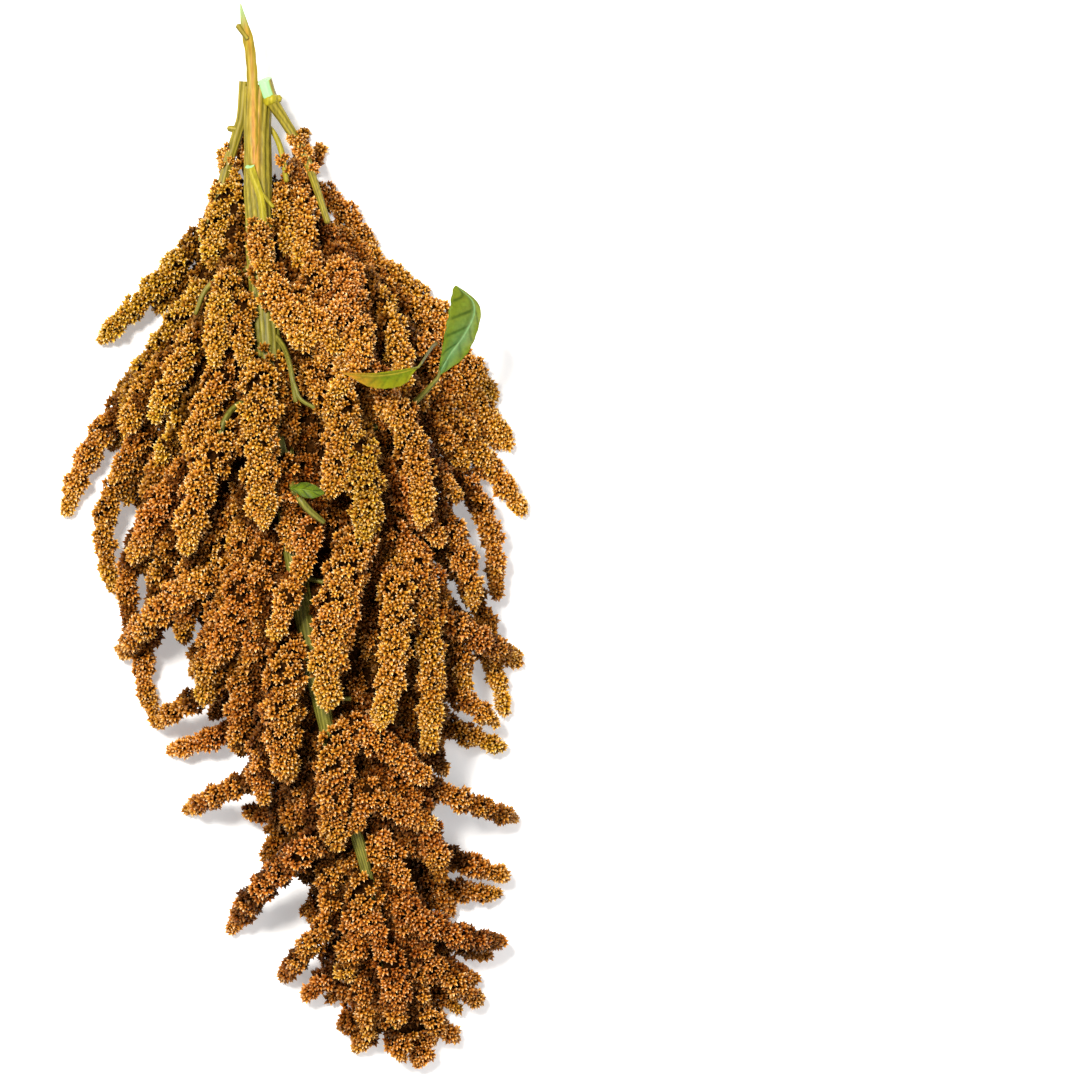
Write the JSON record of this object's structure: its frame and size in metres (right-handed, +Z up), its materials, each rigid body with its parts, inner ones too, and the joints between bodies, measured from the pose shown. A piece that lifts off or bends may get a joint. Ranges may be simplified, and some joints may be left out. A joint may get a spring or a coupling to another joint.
{
  "type": "amaranth seed head",
  "caption": "Cut head of grain amaranth laid down, with tapering seed spikes packed round a ribbed stalk, a torn cut end and small green leaves.",
  "frame": {"origin": "middle of the bounding box, on the surface that the head lies on", "axes": "+Y along the stalk from the tip of the head to the cut end, +X to the right seen from above with the cut end away, +Z up"},
  "size_m": [0.1894, 0.4287, 0.0732],
  "materials": {
    "stem": "matt, ribbed tan and olive rind",
    "seed_spikes": "matt orange-brown dry seed clusters",
    "leaf_long": "satin mid-green leaf",
    "leaf_curled": "satin yellow-green leaf",
    "leaf_young": "satin bright-green leaf"
  },
  "bodies": {
    "root": {"stem": "stem", "seed_spikes": "seed_spikes", "leaf_long": "leaf_long", "leaf_curled": "leaf_curled", "leaf_young": "leaf_young"}
  },
  "joints": []
}
